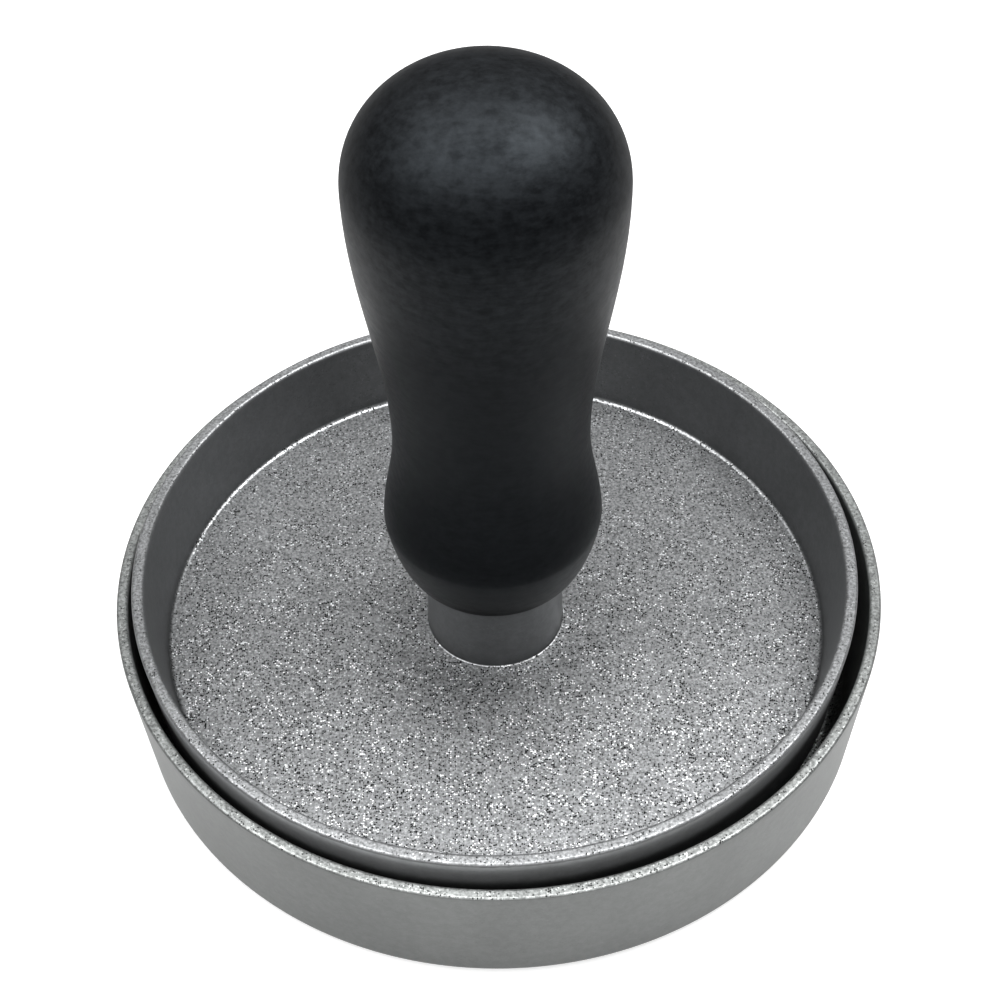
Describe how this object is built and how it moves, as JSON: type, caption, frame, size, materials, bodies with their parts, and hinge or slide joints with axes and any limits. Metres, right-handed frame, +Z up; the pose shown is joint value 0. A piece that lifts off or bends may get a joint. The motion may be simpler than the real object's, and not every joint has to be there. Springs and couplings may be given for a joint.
{
  "type": "patty press",
  "caption": "Round mould dish with a loose press dish inside it, whose central boss carries a tall waisted grip that unscrews.",
  "frame": {"origin": "centre of the mould's foot ring, on the table", "axes": "+Z up, along the mould's axis; the press dish and its grip stand a little to the -X and -Y side of that axis, because the press dish is loose in the mould"},
  "size_m": [0.1204, 0.1204, 0.1167],
  "materials": {
    "mould_coating": "speckled grey non-stick coating, satin",
    "press_coating": "speckled grey non-stick coating with bright flakes, satin",
    "steel": "plated, fine machined",
    "brass": "machined",
    "lacquer": "black satin lacquer"
  },
  "bodies": {
    "mould": {"mould": "mould_coating"},
    "press": {"press_dish": "press_coating"},
    "washer": {"washer": "steel"},
    "grip": {"grip": "lacquer", "grip_insert": "brass", "stud": "steel"}
  },
  "joints": [
    {"name": "press_lift", "type": "slide", "parent": "mould", "child": "press", "axis": [0, 0, 1], "range_m": [0, 0.06]},
    {"name": "grip_rise", "type": "slide", "parent": "press", "child": "washer", "axis": [0, 0, 1], "range_m": [0, 0.0101]},
    {"name": "grip_unscrew", "type": "hinge", "parent": "washer", "child": "grip", "pos_m": [-0.0006, -0.0003, 0.0267], "axis": [0, 0, 1], "range_deg": [0, 2880]}
  ],
  "couplings": [
    {"joint": "grip_rise", "follows": "grip_unscrew", "m_per_rad": 0.00019894}
  ]
}
